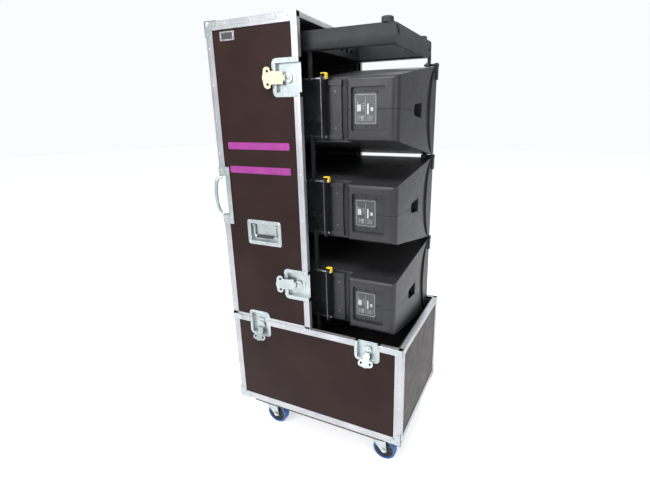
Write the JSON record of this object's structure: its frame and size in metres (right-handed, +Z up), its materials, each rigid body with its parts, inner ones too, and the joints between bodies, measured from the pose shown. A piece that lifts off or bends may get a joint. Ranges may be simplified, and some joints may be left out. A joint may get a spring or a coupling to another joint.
{
  "type": "line array speaker",
  "caption": "Line array loudspeaker cabinets pinned in a straight stack under a fly bar, standing in a wheeled flight case base with one half of its lift-off cover in place",
  "frame": {"origin": "On the floor, under the middle of the flight case base", "axes": "+Z up; X along the case's long side, the half cover on -X; -Y is the side with the latches and the cabinets' rears; the loudspeakers fire to +Y"},
  "size_m": [0.8101, 0.5555, 1.7271],
  "materials": {
    "phenolic_plywood": "phenolic film over birch plywood, dark brown, satin",
    "castor_board": "dark film faced board",
    "edge_aluminium": "satin anodised extrusion with zinc corners riveted on",
    "black_foam": "closed cell foam, matt black",
    "zinc_steel": "bright zinc plate",
    "blue_rubber": "blue elastic tyre on a black core",
    "cabinet_plastic": "charcoal moulded plastic with a fine grain",
    "black_steel": "black powder coat",
    "driver_black": "black drive units and baffle",
    "yellow_plastic": "yellow pin handle"
  },
  "bodies": {
    "case_base": {"base_panels": "phenolic_plywood", "base_edge_profiles": "edge_aluminium", "base_lining": "black_foam", "base_latch_left_dish": "zinc_steel", "base_latch_right_dish": "zinc_steel", "castor_board": "castor_board", "fly_bar": "black_steel", "cabinet_1_upper_shell": "cabinet_plastic", "cabinet_1_lower_shell": "cabinet_plastic", "cabinet_1_front_frame": "black_steel", "cabinet_1_drive_units": "driver_black", "cabinet_1_rear_rigging": "black_steel", "cabinet_2_upper_shell": "cabinet_plastic", "cabinet_2_lower_shell": "cabinet_plastic", "cabinet_2_front_frame": "black_steel", "cabinet_2_drive_units": "driver_black", "cabinet_2_rear_rigging": "black_steel", "cabinet_3_upper_shell": "cabinet_plastic", "cabinet_3_lower_shell": "cabinet_plastic", "cabinet_3_front_frame": "black_steel", "cabinet_3_drive_units": "driver_black", "cabinet_3_rear_rigging": "black_steel", "cabinet_4_upper_shell": "cabinet_plastic", "cabinet_4_lower_shell": "cabinet_plastic", "cabinet_4_front_frame": "black_steel", "cabinet_4_drive_units": "driver_black", "cabinet_4_rear_rigging": "black_steel"},
    "cover": {"cover_panels": "phenolic_plywood", "cover_edge_profiles": "edge_aluminium", "cover_lining": "black_foam", "cover_latch_upper_dish": "zinc_steel", "cover_latch_lower_dish": "zinc_steel", "cover_keeper_dish": "zinc_steel", "cover_handle_dish": "zinc_steel", "cover_corner_handle": "zinc_steel"},
    "castor_front_left_fork": {"castor_front_left_fork": "zinc_steel"},
    "castor_front_left_wheel": {"castor_front_left_wheel": "blue_rubber"},
    "castor_front_right_fork": {"castor_front_right_fork": "zinc_steel"},
    "castor_front_right_wheel": {"castor_front_right_wheel": "blue_rubber"},
    "castor_rear_left_fork": {"castor_rear_left_fork": "zinc_steel"},
    "castor_rear_left_wheel": {"castor_rear_left_wheel": "blue_rubber"},
    "castor_rear_right_fork": {"castor_rear_right_fork": "zinc_steel"},
    "castor_rear_right_wheel": {"castor_rear_right_wheel": "blue_rubber"},
    "base_latch_left_rotor": {"base_latch_left_rotor": "zinc_steel"},
    "base_latch_left_hook": {"base_latch_left_hook": "zinc_steel"},
    "base_latch_left_wing": {"base_latch_left_wing": "zinc_steel"},
    "base_latch_right_rotor": {"base_latch_right_rotor": "zinc_steel"},
    "base_latch_right_hook": {"base_latch_right_hook": "zinc_steel"},
    "base_latch_right_wing": {"base_latch_right_wing": "zinc_steel"},
    "cover_latch_lower_rotor": {"cover_latch_lower_rotor": "zinc_steel"},
    "cover_latch_lower_hook": {"cover_latch_lower_hook": "zinc_steel"},
    "cover_latch_lower_wing": {"cover_latch_lower_wing": "zinc_steel"},
    "cover_latch_upper_rotor": {"cover_latch_upper_rotor": "zinc_steel"},
    "cover_latch_upper_hook": {"cover_latch_upper_hook": "zinc_steel"},
    "cover_latch_upper_wing": {"cover_latch_upper_wing": "zinc_steel"},
    "cover_handle_bow": {"cover_handle_bow": "zinc_steel"},
    "cabinet_1_quick_pin": {"cabinet_1_quick_pin": "yellow_plastic"},
    "cabinet_2_quick_pin": {"cabinet_2_quick_pin": "yellow_plastic"},
    "cabinet_3_quick_pin": {"cabinet_3_quick_pin": "yellow_plastic"},
    "cabinet_4_quick_pin": {"cabinet_4_quick_pin": "yellow_plastic"}
  },
  "joints": [
    {"name": "cover_pull_off", "type": "slide", "parent": "case_base", "child": "cover", "axis": [-1, 0, 0], "range_m": [0, 0.4]},
    {"name": "castor_front_left_swivel", "type": "hinge", "parent": "case_base", "child": "castor_front_left_fork", "pos_m": [-0.27, -0.2, 0.1], "axis": [0, 0, 1], "continuous": true},
    {"name": "castor_front_left_roll", "type": "hinge", "parent": "castor_front_left_fork", "child": "castor_front_left_wheel", "pos_m": [-0.234, -0.2, 0.05], "axis": [0, 1, 0], "continuous": true},
    {"name": "castor_front_right_swivel", "type": "hinge", "parent": "case_base", "child": "castor_front_right_fork", "pos_m": [0.27, -0.2, 0.1], "axis": [0, 0, 1], "continuous": true},
    {"name": "castor_front_right_roll", "type": "hinge", "parent": "castor_front_right_fork", "child": "castor_front_right_wheel", "pos_m": [0.306, -0.2, 0.05], "axis": [0, 1, 0], "continuous": true},
    {"name": "castor_rear_left_swivel", "type": "hinge", "parent": "case_base", "child": "castor_rear_left_fork", "pos_m": [-0.27, 0.2, 0.1], "axis": [0, 0, 1], "continuous": true},
    {"name": "castor_rear_left_roll", "type": "hinge", "parent": "castor_rear_left_fork", "child": "castor_rear_left_wheel", "pos_m": [-0.234, 0.2, 0.05], "axis": [0, 1, 0], "continuous": true},
    {"name": "castor_rear_right_swivel", "type": "hinge", "parent": "case_base", "child": "castor_rear_right_fork", "pos_m": [0.27, 0.2, 0.1], "axis": [0, 0, 1], "continuous": true},
    {"name": "castor_rear_right_roll", "type": "hinge", "parent": "castor_rear_right_fork", "child": "castor_rear_right_wheel", "pos_m": [0.306, 0.2, 0.05], "axis": [0, 1, 0], "continuous": true},
    {"name": "base_latch_left_turn", "type": "hinge", "parent": "case_base", "child": "base_latch_left_rotor", "pos_m": [-0.25, -0.2502, 0.53], "axis": [0, 1, 0], "range_deg": [0, 180]},
    {"name": "base_latch_left_draw", "type": "slide", "parent": "case_base", "child": "base_latch_left_hook", "axis": [0, 0, -1], "range_m": [0, 0.008]},
    {"name": "base_latch_left_fold", "type": "hinge", "parent": "base_latch_left_rotor", "child": "base_latch_left_wing", "pos_m": [-0.25, -0.26, 0.5185], "axis": [-1, 0, 0], "range_deg": [0, 135]},
    {"name": "base_latch_right_turn", "type": "hinge", "parent": "case_base", "child": "base_latch_right_rotor", "pos_m": [0.248, -0.2502, 0.53], "axis": [0, 1, 0], "range_deg": [0, 180]},
    {"name": "base_latch_right_draw", "type": "slide", "parent": "case_base", "child": "base_latch_right_hook", "axis": [0, 0, -1], "range_m": [0, 0.008]},
    {"name": "base_latch_right_fold", "type": "hinge", "parent": "base_latch_right_rotor", "child": "base_latch_right_wing", "pos_m": [0.248, -0.26, 0.5185], "axis": [-1, 0, 0], "range_deg": [0, 135]},
    {"name": "cover_latch_lower_turn", "type": "hinge", "parent": "cover", "child": "cover_latch_lower_rotor", "pos_m": [-0.05, -0.2502, 0.7495], "axis": [0, 1, 0], "range_deg": [0, 180]},
    {"name": "cover_latch_lower_draw", "type": "slide", "parent": "cover", "child": "cover_latch_lower_hook", "axis": [-1, 0, 0], "range_m": [0, 0.008]},
    {"name": "cover_latch_lower_fold", "type": "hinge", "parent": "cover_latch_lower_rotor", "child": "cover_latch_lower_wing", "pos_m": [-0.0615, -0.26, 0.7495], "axis": [0, 0, 1], "range_deg": [0, 135]},
    {"name": "cover_latch_upper_turn", "type": "hinge", "parent": "cover", "child": "cover_latch_upper_rotor", "pos_m": [-0.05, -0.2502, 1.518], "axis": [0, 1, 0], "range_deg": [0, 180]},
    {"name": "cover_latch_upper_draw", "type": "slide", "parent": "cover", "child": "cover_latch_upper_hook", "axis": [-1, 0, 0], "range_m": [0, 0.008]},
    {"name": "cover_latch_upper_fold", "type": "hinge", "parent": "cover_latch_upper_rotor", "child": "cover_latch_upper_wing", "pos_m": [-0.0615, -0.26, 1.518], "axis": [0, 0, 1], "range_deg": [0, 135]},
    {"name": "cover_handle_lift", "type": "hinge", "parent": "cover", "child": "cover_handle_bow", "pos_m": [-0.1935, -0.2565, 0.977], "axis": [-1, 0, 0], "range_deg": [0, 90], "stiffness_Nm_per_rad": 0.4},
    {"name": "cabinet_1_pin_pull", "type": "slide", "parent": "case_base", "child": "cabinet_1_quick_pin", "axis": [1, 0, 0], "range_m": [0, 0.078]},
    {"name": "cabinet_2_pin_pull", "type": "slide", "parent": "case_base", "child": "cabinet_2_quick_pin", "axis": [1, 0, 0], "range_m": [0, 0.078]},
    {"name": "cabinet_3_pin_pull", "type": "slide", "parent": "case_base", "child": "cabinet_3_quick_pin", "axis": [1, 0, 0], "range_m": [0, 0.078]},
    {"name": "cabinet_4_pin_pull", "type": "slide", "parent": "case_base", "child": "cabinet_4_quick_pin", "axis": [1, 0, 0], "range_m": [0, 0.078]}
  ],
  "couplings": [
    {"joint": "base_latch_left_draw", "follows": "base_latch_left_turn", "m_per_rad": 0.0025},
    {"joint": "base_latch_right_draw", "follows": "base_latch_right_turn", "m_per_rad": 0.0025},
    {"joint": "cover_latch_lower_draw", "follows": "cover_latch_lower_turn", "m_per_rad": 0.0025},
    {"joint": "cover_latch_upper_draw", "follows": "cover_latch_upper_turn", "m_per_rad": 0.0025}
  ]
}
